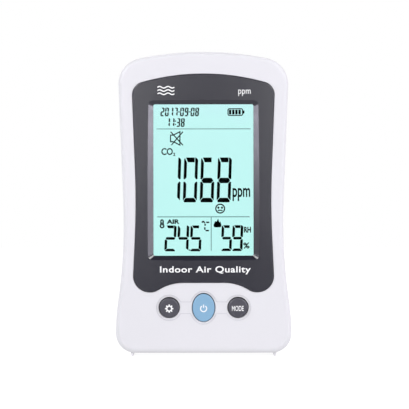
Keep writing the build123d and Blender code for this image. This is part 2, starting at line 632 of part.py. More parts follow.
def chip(x, z, width, height, lead_count, sides="xz"):
    """A moulded chip on the back of the board, with flat leads on two or four sides."""
    back, thick, lead_reach, half_lead = BOARD_BACK, 1.5, 1.0, 0.12
    body = block(x - width / 2, x + width / 2, back + 0.1, back + thick, z - height / 2, z + height / 2)
    body = chamfer(body.edges().group_by(Axis.Y)[-1], 0.15)
    for i in range(lead_count):
        step = (i - (lead_count - 1) / 2) * 0.8 * min(width, height) / lead_count
        if "x" in sides:
            reach = width / 2 + lead_reach
            low, high = z + step - half_lead, z + step + half_lead
            body += block(x - reach, x + reach, back, back + 0.2, low, high)
        if "z" in sides:
            reach = height / 2 + lead_reach
            left, right = x + step - half_lead, x + step + half_lead
            body += block(left, right, back, back + 0.2, z - reach, z + reach)
    return body


def clock_crystal():
    """A tuning-fork crystal in a round can, lying on the board on its two wires."""
    x, z = CRYSTAL
    can = Pos(x, BOARD_BACK + CRYSTAL_RADIUS, z) * Cylinder(CRYSTAL_RADIUS, CRYSTAL_LENGTH)
    bottom = z - CRYSTAL_LENGTH / 2
    wire = block(-0.15, 0.15, BOARD_BACK + 0.85, BOARD_BACK + 1.15, bottom - 1.8, bottom + 0.1)
    return can + Pos(x - 0.4, 0, 0) * wire + Pos(x + 0.4, 0, 0) * wire


def inductor():
    """A square moulded inductor with a ring pressed into its top."""
    x, z = INDUCTOR
    inner, outer, depth = INDUCTOR_RING
    top = BOARD_BACK + INDUCTOR_THICK
    body = plate(INDUCTOR_SIZE, INDUCTOR_SIZE, z, BOARD_BACK, top, corner=1.2, x=x)
    return body - (bar(x, z, outer, top - depth, 0) - bar(x, z, inner, -5, 0))


def bulk_capacitors():
    """Upright capacitor cans, each on its square base."""
    top = BOARD_BACK + CAN_TALL
    cans = []
    for z in CAN_HEIGHTS:
        base = plate(CAN_BASE, CAN_BASE, z, BOARD_BACK, BOARD_BACK + 0.9, x=CAN_X)
        can = base + bar(CAN_X, z, CAN_RADIUS, BOARD_BACK + 0.5, top)
        cans.append(fillet(edges_at(can, top), 0.4))
    return Compound(children=[c.solid() for c in cans])


def chip_parts(places, length, width, thick):
    """Small two-terminal parts, each its own solid on the back of the board."""
    return Compound(children=[
        plate(length, width, z, BOARD_BACK, BOARD_BACK + thick, x=x).solid()
        for x, z in places
    ])


def buzzer():
    """A round sounder with a central sound hole."""
    x, z = BUZZER
    top = BOARD_BACK + BUZZER_THICK
    can = fillet(edges_at(bar(x, z, BUZZER_RADIUS, BOARD_BACK, top), top), 0.6)
    return can - bar(x, z, 1.0, top - 2.0, 10)


def charging_port():
    """The port's pressed steel shell, its mouth towards the side of the case, with its mounting feet."""
    x0 = PORT_TAB + PORT_OVERHANG - PORT_LENGTH
    middle = Pos(PORT_DEPTH, PORT_HEIGHT)
    profile = Plane.YZ.offset(x0) * (middle * RectangleRounded(*PORT_SHELL, 0.7))
    hollow = Plane.YZ.offset(x0 + 0.4) * (middle * RectangleRounded(*PORT_HOLLOW, 0.45))
    shell = extrude(profile, amount=PORT_LENGTH) - extrude(hollow, amount=PORT_LENGTH)
    for side in (-1, 1):
        z = PORT_HEIGHT + side * 4.3
        foot_z = sorted((z, z - side))
        shell += block(x0 + 1.0, x0 + 3.0, BOARD_BACK, BOARD_BACK + 0.3, *foot_z)
    return shell


def charging_port_tongue():
    """The port's contact tongue, inside its shell."""
    half = 1.9
    front = PORT_DEPTH + 0.05
    return block(PORT_TAB - 4.2, PORT_TAB + 0.2, front, front + 0.6, PORT_HEIGHT - half, PORT_HEIGHT + half)


def sensor_board():
    x, z = SENSOR_MIDDLE
    front = BOARD_BACK + SENSOR_STANDOFF
    board = plate(SENSOR_WIDTH, SENSOR_HEIGHT, z, front, SENSOR_BACK, x=x)
    for row_x in sensor_pin_rows():
        for i in range(PINS_IN_ROW):
            board -= bar(row_x, sensor_pin_height(i), 0.45, front - 1, front + 2)
    return board


def sensor_pin_rows():
    return [SENSOR_MIDDLE[0] + side * PIN_ROW_REACH for side in (-1, 1)]


def sensor_pin_height(i):
    return SENSOR_MIDDLE[1] + (i - (PINS_IN_ROW - 1) / 2) * PIN_PITCH


def sensor_header(row_x):
    """A row of four pins in a moulded strip that lifts the gas sensor off the main board."""
    low = sensor_pin_height(0) - PIN_PITCH / 2
    high = low + PINS_IN_ROW * PIN_PITCH
    strip = block(row_x - 1.2, row_x + 1.2, BOARD_BACK, BOARD_BACK + SENSOR_STANDOFF, low, high)
    for i in range(PINS_IN_ROW):
        strip += bar(row_x, sensor_pin_height(i), 0.3, BOARD_BACK + 0.1, BOARD_BACK + SENSOR_STANDOFF + 2.2)
    return strip


def sensor_chamber():
    """The gas sensor's plated optical chamber, with two shallow seats for its membranes."""
    x, z = SENSOR_MIDDLE
    top = SENSOR_BACK + SENSOR_DEPTH
    chamber = fillet(edges_at(plate(*CHAMBER, z, SENSOR_BACK, top, corner=2.0, x=x), top), 0.8)
    for dx in (-MEMBRANE_REACH, MEMBRANE_REACH):
        chamber -= plate(*MEMBRANE, z, top - MEMBRANE_SEAT, top + 1.5, corner=1.0, x=x + dx)
    return chamber


def sensor_membranes():
    x, z = SENSOR_MIDDLE
    seat = SENSOR_BACK + SENSOR_DEPTH - MEMBRANE_SEAT
    width, height = MEMBRANE[0] - MEMBRANE_FIT, MEMBRANE[1] - MEMBRANE_FIT
    places = [x - MEMBRANE_REACH, x + MEMBRANE_REACH]
    sheets = [plate(width, height, z, seat, seat + 0.3, corner=0.9, x=place) for place in places]
    return Compound(children=[s.solid() for s in sheets])


def humidity_sensor():
    """A small sensor package with a round vent in its lid, beside the left wall's slots."""
    x, z = HUMIDITY
    top = BOARD_BACK + HUMIDITY_THICK
    body = plate(2 * HUMIDITY_HALF, 2 * HUMIDITY_HALF, z, BOARD_BACK, top, x=x)
    return body - bar(x, z, 0.8, top - 0.4, 0)


def battery_cell():
    """A flat pouch cell with soft long edges and its sealed top."""
    x0, x1, y0, y1, z0, z1 = BATTERY_BOX
    cell = block(x0, x1, y0, y1, z0, z1 - BATTERY_SEAL)
    cell = fillet(cell.edges().filter_by(Axis.Z), 2.6)
    return fillet(cell.edges().group_by(Axis.Z)[0], 0.8)


def battery_protection():
    """The protection board folded on the pouch's sealed top."""
    x0, x1, y0, y1, _, z1 = BATTERY_BOX
    middle = (y0 + y1) / 2
    board = block(x0 + 3, x1 - 3, middle - 0.5, middle + 0.5, z1 - BATTERY_SEAL, z1)
    for x in (-8.0, -3.0, 5.0):
        board += block(x - 1.5, x + 1.5, middle + 0.4, middle + 1.4, z1 - 3.2, z1 - 0.8)
    return board


def battery_pad():
    """The foam pad that presses the cell against the stand's housing."""
    x0, x1, _, y1, z0, z1 = BATTERY_BOX
    return block(x0 + 3, x1 - 3, y1, RECESS_FLOOR - 2.0, z0 + 4, z1 - 8)


def lead_end(side):
    """Where a lead enters the battery plug, which faces left."""
    return (PLUG[0], BOARD_BACK + 2.6, PLUG[1] + side)


def battery_lead(side):
    """A lead from the protection board to the plug. side is -1 for black and 1 for red."""
    start_y = (BATTERY_BOX[2] + BATTERY_BOX[3]) / 2
    end = lead_end(side)
    points = [
        (2.0 - 2.0 * side, start_y, BATTERY_BOX[5]),
        (2.0 - 2.0 * side, start_y, 67.5),
        (5.0 - 1.6 * side, start_y - 2.2, 70.5),
        (9.5 - 1.0 * side, start_y - 5.6, 72.2 + 0.8 * side),
        (14.5, end[1] + 0.9, PLUG[1] + 0.35 + side),
        (18.5, end[1] + 0.1, PLUG[1] + 0.1 + side),
        end,
    ]
    return wire_through(points, LEAD_RADIUS)


def battery_plug():
    x, z = PLUG
    bottom, top = z - PLUG_HALF_WIDTH, z + PLUG_HALF_WIDTH
    body = block(x, x + PLUG_LENGTH, BOARD_BACK + 1.1, BOARD_BACK + 4.1, bottom, top)
    return chamfer(body.edges().filter_by(Axis.X), 0.3)


def battery_socket():
    """The board's socket for the battery plug, open to the left."""
    x, z = PLUG
    inside, outside = PLUG_HALF_WIDTH + 0.1, PLUG_HALF_WIDTH + 1.2
    shroud = block(x + 1.6, x + 8.0, BOARD_BACK, BOARD_BACK + 5.1, z - outside, z + outside)
    bore_end = x + PLUG_LENGTH + 0.1
    return shroud - block(x, bore_end, BOARD_BACK + 1.0, BOARD_BACK + 4.2, z - inside, z + inside)


# ---------------------------------------------------------------- assembly
def grid(x, z, columns, rows, pitch_x, pitch_z):
    return [(x + i * pitch_x, z + j * pitch_z) for i in range(columns) for j in range(rows)]


def all_parts():
    resistor_places = grid(-10, 93, 5, 2, 3.4, 2.4) + grid(26, 78.5, 3, 2, 3.4, 2.2)
    capacitor_places = grid(-12, 99.5, 6, 1, 4.4, 0) + grid(-18, 79, 1, 4, 0, 3.2)
    parts = {
        "front_shell": front_shell(),
        "rear_cover": rear_cover(),
        "case_screws": case_screws(),
        "left_foot_strip": foot_strip(-1),
        "right_foot_strip": foot_strip(1),
        "dust_filter": dust_filter(),
        "fold_out_stand": stand(),
        "display_bezel": display_bezel(),
        "bezel_adhesive": bezel_adhesive(),
        "display_window": display_window(),
        **display_stack(),
        "backlight_leds": backlight_leds(),
        "display_holder": display_holder(),
        "contact_strip": contact_strip(),
        "main_board": main_board(),
        "board_screws": board_screws(),
        "microcontroller": chip(0, 84, width=10, height=10, lead_count=14),
        "charge_controller": chip(28, 60.5, width=4.9, height=3.9, lead_count=4, sides="z"),
        "memory_chip": chip(-12, 74, width=4.9, height=3.9, lead_count=4, sides="z"),
        "clock_crystal": clock_crystal(),
        "boost_inductor": inductor(),
        "bulk_capacitors": bulk_capacitors(),
        "chip_resistors": chip_parts(resistor_places, length=1.6, width=0.8, thick=0.5),
        "chip_capacitors": chip_parts(capacitor_places, length=2.0, width=1.25, thick=1.1),
        "buzzer": buzzer(),
        "charging_port_shell": charging_port(),
        "charging_port_tongue": charging_port_tongue(),
        "gas_sensor_board": sensor_board(),
        "gas_sensor_left_header": sensor_header(sensor_pin_rows()[0]),
        "gas_sensor_right_header": sensor_header(sensor_pin_rows()[1]),
        "gas_sensor_chamber": sensor_chamber(),
        "gas_sensor_membranes": sensor_membranes(),
        "humidity_sensor": humidity_sensor(),
        "battery_cell": battery_cell(),
        "battery_protection_board": battery_protection(),
        "battery_pad": battery_pad(),
        "battery_lead_black": battery_lead(-1),
        "battery_lead_red": battery_lead(1),
        "battery_plug": battery_plug(),
        "battery_socket": battery_socket(),
    }
    for side, name in KEY_NAMES.items():
        parts[f"{name}_key"] = key(side)
        parts[f"{name}_switch_housing"] = switch_housing(side)
        parts[f"{name}_switch_plunger"] = switch_plunger(side)
    return parts


os.makedirs("parts", exist_ok=True)
for name, shape in all_parts().items():
    export_step(shape, f"parts/{name}.step")
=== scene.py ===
"""Looks of the desktop carbon dioxide monitor: finishes, lit display, printed marks, studio and camera.

Sketch sizes are in millimetres, as (x, z) seen from the front, and become metres when a piece is made.
"""

import json
import math

import bmesh
import bpy
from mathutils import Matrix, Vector


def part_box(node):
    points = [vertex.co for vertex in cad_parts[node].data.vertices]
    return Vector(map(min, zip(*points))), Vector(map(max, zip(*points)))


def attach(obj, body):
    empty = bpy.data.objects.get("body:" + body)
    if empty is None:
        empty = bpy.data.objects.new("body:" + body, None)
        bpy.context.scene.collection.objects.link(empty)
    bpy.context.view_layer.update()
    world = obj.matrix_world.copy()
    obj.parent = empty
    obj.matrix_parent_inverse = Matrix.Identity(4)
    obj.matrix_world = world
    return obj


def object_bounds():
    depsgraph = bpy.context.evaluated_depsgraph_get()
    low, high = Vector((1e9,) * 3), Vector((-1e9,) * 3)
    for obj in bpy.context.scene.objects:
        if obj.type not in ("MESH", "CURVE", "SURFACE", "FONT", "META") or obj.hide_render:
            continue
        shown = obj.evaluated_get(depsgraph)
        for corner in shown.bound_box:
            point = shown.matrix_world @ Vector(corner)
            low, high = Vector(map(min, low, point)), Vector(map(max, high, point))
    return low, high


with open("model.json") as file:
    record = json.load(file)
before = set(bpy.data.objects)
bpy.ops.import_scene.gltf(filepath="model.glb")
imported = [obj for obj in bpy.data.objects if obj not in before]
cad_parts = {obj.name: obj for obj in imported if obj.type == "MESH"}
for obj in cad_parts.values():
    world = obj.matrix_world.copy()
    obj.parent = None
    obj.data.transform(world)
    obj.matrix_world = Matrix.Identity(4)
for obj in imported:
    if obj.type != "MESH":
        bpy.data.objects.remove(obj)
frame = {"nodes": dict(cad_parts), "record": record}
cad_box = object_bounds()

MM = 0.001
ROOT = "case"

# ---------------------------------------------------------------- places taken from the frame
VIEW_SIZE = (53.4, 80.7)
window_low, window_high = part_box("display_window")
VIEW_LEFT = (window_low.x + window_high.x) / 2 / MM - VIEW_SIZE[0] / 2
VIEW_BOTTOM = (window_low.z + window_high.z) / 2 / MM - VIEW_SIZE[1] / 2
LCD_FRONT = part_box("lcd_front_polarizer")[0].y / MM
INK_THICK = 0.02
SEGMENT_THICK = 0.06

# In metres: points of a mark that are nearer to each other than this become one.
WELD = 1e-8

# Depths in metres: the case's front wall lies before the first, and the keys' visible caps before the second;
# behind the second the keys are painted near black as shade in the gaps round them.
FRONT_WALL_Y = -0.014
KEY_CAP_Y = -0.0159

# Half the bezel's opening, in metres, where its front face ends and the slope round the display begins.
SLOPE_HALF_WIDTH, SLOPE_HALF_HEIGHT = 0.02985, 0.0426


# ---------------------------------------------------------------- shader helpers
class Shader:
    """A material's node tree, with short calls for the nodes that the finishes share."""

    def __init__(self, name):
        self.material = bpy.data.materials.new(name)
        self.material.use_nodes = True
        self.nodes = self.material.node_tree.nodes
        self.links = self.material.node_tree.links
        self.surface = self.nodes["Principled BSDF"]
        self.place = self.nodes.new("ShaderNodeTexCoord").outputs["Object"]

    def constants(self, **values):
        for name, value in values.items():
            self.surface.inputs[name.replace("_", " ")].default_value = value
        return self

    def noise(self, scale, detail=3.0, roughness=0.55, stretch=(1, 1, 1)):
        mapping = self.nodes.new("ShaderNodeMapping")
        mapping.inputs["Scale"].default_value = stretch
        self.links.new(self.place, mapping.inputs["Vector"])
        node = self.nodes.new("ShaderNodeTexNoise")
        node.inputs["Scale"].default_value = scale
        node.inputs["Detail"].default_value = detail
        node.inputs["Roughness"].default_value = roughness
        self.links.new(mapping.outputs["Vector"], node.inputs["Vector"])
        return node.outputs["Fac"]

    def cells(self, scale, feature="F1"):
        node = self.nodes.new("ShaderNodeTexVoronoi")
        node.feature = feature
        node.inputs["Scale"].default_value = scale
        self.links.new(self.place, node.inputs["Vector"])
        return node.outputs["Distance"]

    def ramp(self, source, stops):
        node = self.nodes.new("ShaderNodeValToRGB")
        elements = node.color_ramp.elements
        while len(elements) < len(stops):
            elements.new(0.5)
        for element, (position, colour) in zip(elements, stops):
            element.position = position
            element.color = (*colour, 1) if len(colour) == 3 else colour
        self.links.new(source, node.inputs["Fac"])
        return node.outputs["Color"]

    def spread(self, source, low, high, start=0.35, stop=0.65):
        """source, spread from low to high as it goes from start to stop."""
        node = self.nodes.new("ShaderNodeMapRange")
        node.inputs["From Min"].default_value = start
        node.inputs["From Max"].default_value = stop
        node.inputs["To Min"].default_value = low
        node.inputs["To Max"].default_value = high
        self.links.new(source, node.inputs["Value"])
        return node.outputs["Result"]

    def maths(self, operation, *inputs):
        node = self.nodes.new("ShaderNodeMath")
        node.operation = operation
        for i, value in enumerate(inputs):
            if isinstance(value, (int, float)):
                node.inputs[i].default_value = value
            else:
                self.links.new(value, node.inputs[i])
        return node.outputs["Value"]

    def axes(self):
        node = self.nodes.new("ShaderNodeSeparateXYZ")
        self.links.new(self.place, node.inputs["Vector"])
        return node.outputs

    def feed(self, socket, source):
        self.links.new(source, self.surface.inputs[socket])
        return self

    def bump(self, height, depth, strength=1.0, after=None):
        node = self.nodes.new("ShaderNodeBump")
        node.inputs["Distance"].default_value = depth
        node.inputs["Strength"].default_value = strength
        self.links.new(height, node.inputs["Height"])
        if after is not None:
            self.links.new(after, node.inputs["Normal"])
        self.links.new(node.outputs["Normal"], self.surface.inputs["Normal"])
        return node.outputs["Normal"]


def shade(colour, factor):
    return tuple(c * factor for c in colour[:3])


def moulded(name, colour, roughness, grain=2600, depth=0.000012, mottle=0.02, specular=0.5):
    """Injection-moulded plastic: spark-eroded grain, a faint flow mottle and slightly uneven gloss."""
    made = Shader(name).constants(Specular_IOR_Level=specular, IOR=1.46)
    flow = made.noise(22, detail=2)
    stops = [(0.3, shade(colour, 1 - mottle)), (0.7, shade(colour, 1 + mottle))]
    made.feed("Base Color", made.ramp(flow, stops))
    made.feed("Roughness", made.spread(made.noise(160, detail=2), roughness - 0.03, roughness + 0.03))
    fine = made.noise(grain, detail=2)
    made.bump(fine, depth)
    return made.material


# ---------------------------------------------------------------- finishes
def dish_edge_painted_shade(made):
    """A painted shade line along the moulded edge round the keys' dished area: 0.5 on the edge, 0 away from
    it.
    """
    flange = 0.001
    side_margin, power_margin, neck = 0.0015, 0.0014, 0.0031
    power_scale, line_width = 0.008, 0.00028
    axes = made.axes()
    low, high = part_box("power_key")
    half_width, half_height = (high.x - low.x) / 2 - flange, (high.z - low.z) / 2 - flange
    side_low, side_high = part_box("mode_key")
    spacing = (side_low.x + side_high.x) / 2
    side_reach = (side_high.x - side_low.x) / 2 - flange + side_margin
    across = made.maths("ABSOLUTE", axes["X"])
    up = made.maths("ABSOLUTE", made.maths("SUBTRACT", axes["Z"], (low.z + high.z) / 2))

    def length(x, z):
        squares = made.maths("ADD", made.maths("MULTIPLY", x, x), made.maths("MULTIPLY", z, z))
        return made.maths("SQRT", squares)

    from_side = made.maths("SUBTRACT", length(made.maths("SUBTRACT", across, spacing), up), side_reach)
    power_x = made.maths("DIVIDE", across, half_width + power_margin)
    power_z = made.maths("DIVIDE", up, half_height + power_margin)
    from_power = made.maths("MULTIPLY", made.maths("SUBTRACT", length(power_x, power_z), 1.0), power_scale)
    beyond_neck = made.maths("SUBTRACT", up, neck)
    from_neck = made.maths("MAXIMUM", made.maths("SUBTRACT", across, spacing), beyond_neck)
    inside = made.maths("MINIMUM", made.maths("MINIMUM", from_side, from_power), from_neck)
    # The painted shade line: strongest on the edge, fading out within line_width of it.
    near = made.spread(made.maths("ABSOLUTE", inside), 0.5, 0.0, 0.0, line_width)
    on_front = made.maths("LESS_THAN", axes["Y"], FRONT_WALL_Y)
    return made.maths("MULTIPLY", near, on_front)


def case_plastic():
    """White ABS with a fine even texture, like the case's skin, with a painted shade line along the edge
    round the keys' dished area.
    """
    made = Shader("white_case_plastic").constants(IOR=1.5, Specular_IOR_Level=0.45)
    # Painted shade: the dish edge line is taken off the tone, which pulls the colour towards the dark first
    # stop.
    tone = made.maths("SUBTRACT", made.noise(14, detail=2), dish_edge_painted_shade(made))
    stops = [(0.0, (0.5, 0.495, 0.54)), (0.3, (0.672, 0.667, 0.702)), (0.7, (0.686, 0.681, 0.716))]
    made.feed("Base Color", made.ramp(tone, stops))
    made.feed("Roughness", made.spread(made.noise(220, detail=3), 0.42, 0.5))
    pits = made.bump(made.cells(3200), 0.000010)
    made.bump(made.noise(1500, detail=3), 0.000012, after=pits)
    return made.material


def bezel_plastic():
    """Charcoal bezel: a satin front face, and a polished slope round the display."""
    made = Shader("charcoal_bezel_plastic").constants(IOR=1.5)
    axes = made.axes()
    middle_z = (window_low.z + window_high.z) / 2
    beyond_side = made.maths("GREATER_THAN", made.maths("ABSOLUTE", axes["X"]), SLOPE_HALF_WIDTH)
    off_middle = made.maths("ABSOLUTE", made.maths("SUBTRACT", axes["Z"], middle_z))
    beyond_end = made.maths("GREATER_THAN", off_middle, SLOPE_HALF_HEIGHT)
    on_face = made.maths("MAXIMUM", beyond_side, beyond_end)
    flow = made.noise(30, detail=2)
    made.feed("Base Color", made.ramp(flow, [(0.3, (0.02, 0.0198, 0.0305)), (0.7, (0.023, 0.0225, 0.0335))]))
    uneven = made.spread(made.noise(300, detail=3), -0.02, 0.02)
    made.feed("Roughness", made.maths("ADD", made.spread(on_face, 0.16, 0.24, 0, 1), uneven))
    grain = made.maths("MULTIPLY", made.cells(4200), on_face)
    made.bump(grain, 0.000006)
    return made.material


def clear_acrylic():
    """The display window: clear sheet with a trace of green and faint polishing marks."""
    made = Shader("clear_window_acrylic").constants(
        Base_Color=(0.97, 1.0, 0.99, 1), IOR=1.49, Transmission_Weight=1.0
    )
    made.feed("Roughness", made.spread(made.noise(90, detail=2), 0.0, 0.004))
    made.bump(made.noise(500, detail=2, stretch=(1, 1, 0.2)), 0.0000002)
    return made.material


def lit_polarizer():
    """The display's lit background: cyan, paler at the top, with a faint glow from the edge lamps."""
    made = Shader("lit_polarizer").constants(Specular_IOR_Level=0.2, IOR=1.4, Emission_Strength=1.0)
    height = made.spread(made.axes()["Z"], 0, 1, VIEW_BOTTOM * MM, (VIEW_BOTTOM + VIEW_SIZE[1]) * MM)
    glow = made.maths("ADD", height, made.spread(made.noise(60, detail=1), -0.06, 0.06))
    stops = [
        (0.0, (0.565, 0.99, 0.95)),
        (0.12, (0.58, 0.985, 0.96)),
        (0.85, (0.595, 0.985, 0.965)),
        (1.0, (0.61, 0.97, 0.985)),
    ]
    made.feed("Emission Color", made.ramp(glow, stops))
    made.feed("Base Color", made.ramp(glow, [(0.0, (0.01, 0.02, 0.02)), (1.0, (0.012, 0.02, 0.022))]))
    made.feed("Roughness", made.spread(made.noise(800, detail=2), 0.5, 0.6))
    return made.material


def segment_black():
    """A driven segment: near black, with the faint dark cyan of the crossed films."""
    made = Shader("segment_black").constants(Specular_IOR_Level=0.0)
    stops = [(0.3, (0.002, 0.003, 0.003)), (0.7, (0.003, 0.005, 0.005))]
    made.feed("Base Color", made.ramp(made.noise(400), stops))
    made.feed("Roughness", made.spread(made.noise(900), 0.6, 0.7))
    return made.material


def segment_grey():
    """A thin line printed on the glass, between two readings."""
    made = Shader("segment_grey").constants(Specular_IOR_Level=0.0, Emission_Strength=1.0)
    tone = made.noise(300)
    made.feed("Emission Color", made.ramp(tone, [(0.3, (0.1, 0.22, 0.23)), (0.7, (0.13, 0.26, 0.27))]))
    made.feed("Base Color", made.ramp(tone, [(0.3, (0.01, 0.01, 0.01)), (0.7, (0.012, 0.012, 0.012))]))
    return made.material


def printed_ink(name, colour):
    """Silk-screened ink: opaque, slightly uneven, with soft gloss."""
    made = Shader(name).constants(Specular_IOR_Level=0.4)
    stops = [(0.3, shade(colour, 0.96)), (0.7, colour)]
    made.feed("Base Color", made.ramp(made.noise(900, detail=4), stops))
    made.feed("Roughness", made.spread(made.noise(1400, detail=2), 0.42, 0.55))
    made.bump(made.noise(3500, detail=2), 0.000004)
    return made.material


def key_plastic(name, colour, roughness):
    """A key: a coloured cap with fine grain; behind the cap the key's colour is painted near black, a painted
    shade that darkens the gap round it.
    """
    made = Shader(name).constants(Specular_IOR_Level=0.5, IOR=1.46)
    flow = made.noise(22, detail=2)
    # Painted shade: behind the cap's depth the colour turns near black, to darken the gap round the key.
    behind = made.maths("GREATER_THAN", made.axes()["Y"], KEY_CAP_Y)
    tone = made.maths("SUBTRACT", flow, behind)
    # The near-black colour of the painted gap shade.
    black = (0.006, 0.006, 0.008)
    stops = [(0.0, black), (0.2, black), (0.21, shade(colour, 0.97)), (0.7, shade(colour, 1.03))]
    made.feed("Base Color", made.ramp(tone, stops))
    made.feed("Roughness", made.spread(made.noise(160, detail=2), roughness - 0.03, roughness + 0.03))
    made.bump(made.noise(3400, detail=2), 0.000007)
    return made.material


def soft_rubber(name, colour):
    made = Shader(name).constants(Specular_IOR_Level=0.3, Sheen_Weight=0.15)
    stops = [(0.3, shade(colour, 0.93)), (0.7, colour)]
    made.feed("Base Color", made.ramp(made.noise(120, detail=4), stops))
    made.feed("Roughness", made.spread(made.noise(700), 0.62, 0.8))
    made.bump(made.noise(2200, detail=3), 0.00002)
    return made.material


def plated_metal(name, colour, roughness, streaks=(1, 1, 1)):
    """Plated or pressed metal, with fine drawing marks along one axis where streaks says so."""
    made = Shader(name).constants(Metallic=1.0)
    marks = made.noise(900, detail=4, stretch=streaks)
    made.feed("Base Color", made.ramp(marks, [(0.3, shade(colour, 0.88)), (0.7, colour)]))
    made.feed("Roughness", made.spread(marks, roughness - 0.07, roughness + 0.08))
    made.bump(marks, 0.000006)
    return made.material


def circuit_board():
    """Green solder mask over copper: the tracks show as slightly raised, lighter bands."""
    made = Shader("circuit_board_mask").constants(Coat_Weight=0.4, Coat_Roughness=0.15)
    tracks = made.nodes.new("ShaderNodeTexBrick")
    tracks.inputs["Scale"].default_value = 260
    tracks.inputs["Mortar Size"].default_value = 0.09
    tracks.inputs["Color1"].default_value = (0, 0, 0, 1)
    tracks.inputs["Color2"].default_value = (0, 0, 0, 1)
    tracks.inputs["Mortar"].default_value = (1, 1, 1, 1)
    turned = made.nodes.new("ShaderNodeMapping")
    turned.inputs["Rotation"].default_value = (math.radians(90), 0, 0)
    made.links.new(made.place, turned.inputs["Vector"])
    made.links.new(turned.outputs["Vector"], tracks.inputs["Vector"])
    lit = made.ramp(tracks.outputs["Color"], [(0.0, (0.008, 0.10, 0.035)), (1.0, (0.02, 0.19, 0.07))])
    made.feed("Base Color", lit)
    made.feed("Roughness", made.spread(made.noise(300), 0.3, 0.4))
    made.bump(tracks.outputs["Color"], 0.00003)
    return made.material


def woven_mesh():
    """Black filter mesh: two crossed sets of threads."""
    made = Shader("woven_filter_mesh").constants(Specular_IOR_Level=0.2)
    axes = made.axes()
    turns_per_metre = 9000.0
    threads = [
        made.maths("ABSOLUTE", made.maths("SINE", made.maths("MULTIPLY", axes[a], turns_per_metre)))
        for a in ("X", "Z")
    ]
    weave = made.maths("MAXIMUM", *threads)
    made.feed("Base Color", made.ramp(weave, [(0.4, (0.002, 0.002, 0.002)), (1.0, (0.035, 0.035, 0.04))]))
    made.feed("Roughness", made.spread(weave, 0.9, 0.6, 0, 1))
    made.bump(weave, 0.00006)
    return made.material


def striped_contact():
    """Elastomeric contact: thin dark carbon layers through pink silicone."""
    made = Shader("striped_contact_rubber")
    turns_per_metre = 35000.0
    stripes = made.maths("SINE", made.maths("MULTIPLY", made.axes()["X"], turns_per_metre))
    made.feed("Base Color", made.ramp(stripes, [(0.3, (0.5, 0.2, 0.2)), (0.6, (0.02, 0.02, 0.02))]))
    made.feed("Roughness", made.spread(made.noise(500), 0.6, 0.75))
    return made.material


def foil_pouch():
    """The battery's laminated foil, dimpled and faintly creased."""
    made = Shader("foil_pouch").constants(Metallic=0.85)
    creases = made.noise(90, detail=5, roughness=0.6)
    made.feed("Base Color", made.ramp(creases, [(0.3, (0.42, 0.43, 0.45)), (0.7, (0.6, 0.61, 0.63))]))
    made.feed("Roughness", made.spread(creases, 0.3, 0.45))
    made.bump(creases, 0.0003)
    return made.material


def lamp_strip():
    """The backlight's white lamp strip, with a glow where the phosphor is."""
    made = Shader("backlight_lamps").constants(Emission_Strength=0.6)
    base = [(0.3, (0.75, 0.72, 0.5)), (0.7, (0.85, 0.82, 0.6))]
    glow = [(0.3, (0.5, 0.75, 0.8)), (0.7, (0.6, 0.85, 0.9))]
    made.feed("Base Color", made.ramp(made.noise(700), base))
    made.feed("Emission Color", made.ramp(made.noise(700), glow))
    return made.material


def optical_sheet(name, colour, roughness, transmission):
    """A glass, film or light guide layer, with faint prismatic or ground texture."""
    made = Shader(name).constants(IOR=1.5, Transmission_Weight=transmission)
    made.feed("Base Color", made.ramp(made.noise(150), [(0.3, shade(colour, 0.97)), (0.7, colour)]))
    made.feed("Roughness", made.spread(made.noise(1200), max(0.0, roughness - 0.02), roughness + 0.02))
    return made.material


